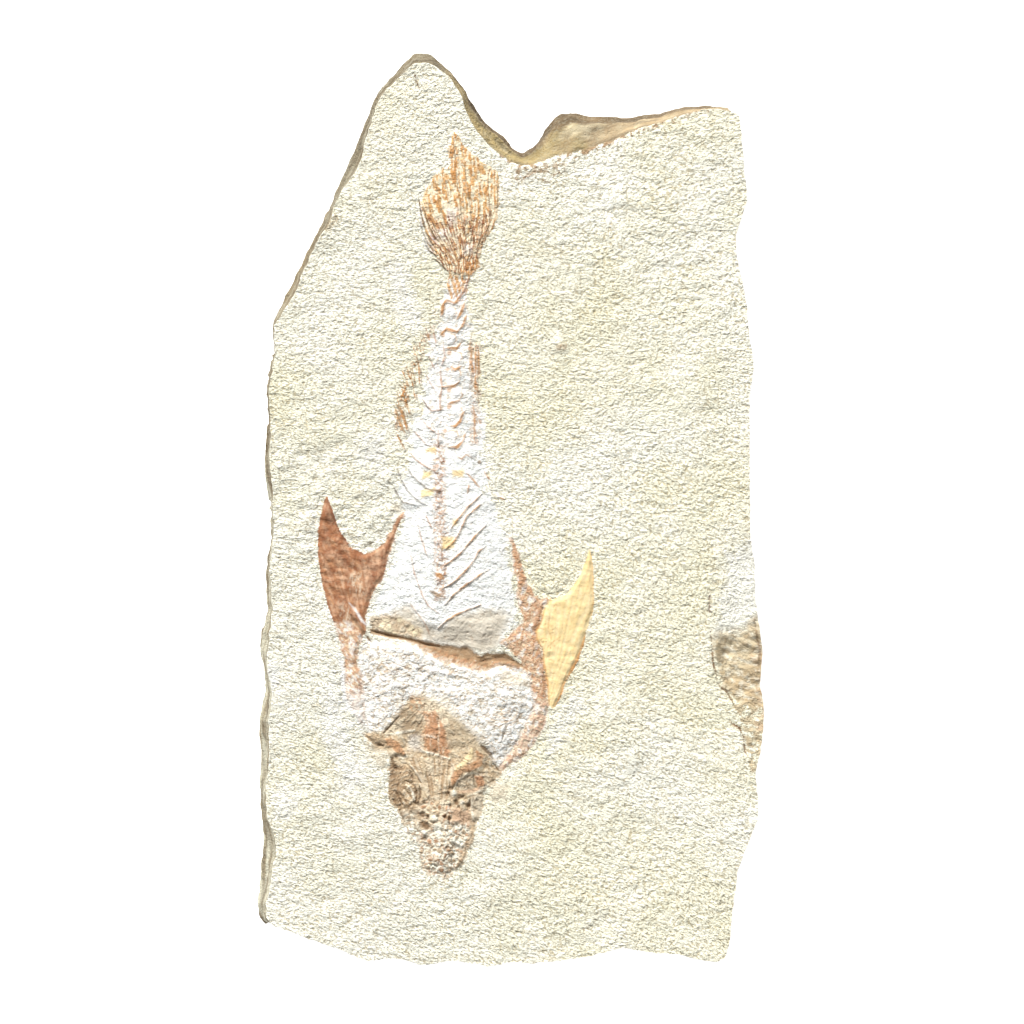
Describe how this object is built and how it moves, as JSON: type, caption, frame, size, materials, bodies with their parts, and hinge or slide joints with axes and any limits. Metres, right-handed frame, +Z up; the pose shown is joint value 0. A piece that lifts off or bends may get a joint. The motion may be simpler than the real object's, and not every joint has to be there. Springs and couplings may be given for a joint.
{
  "type": "fossil fish slab",
  "caption": "Irregular slab of pale limestone with a fossil fish, its fins, ribs and skull standing slightly out of the bedding plane.",
  "frame": {"origin": "on the resting surface, under the middle of the slab's outline", "axes": "+Z up out of the fossil's face; +Y from the fish's snout to its tail, along the slab's length; +X to the fin on the right as seen from above with the tail away from the viewer"},
  "size_m": [0.169, 0.305, 0.0201],
  "materials": {
    "slab": "matte",
    "trunk": "matte",
    "shoulder": "matte",
    "skull": "matte",
    "left_pectoral_fin": "matte",
    "right_pectoral_fin": "matte",
    "tail_fin": "matte"
  },
  "bodies": {
    "root": {"slab": "slab", "trunk": "trunk", "shoulder": "shoulder", "skull": "skull", "left_pectoral_fin": "left_pectoral_fin", "right_pectoral_fin": "right_pectoral_fin", "tail_fin": "tail_fin"}
  },
  "joints": []
}
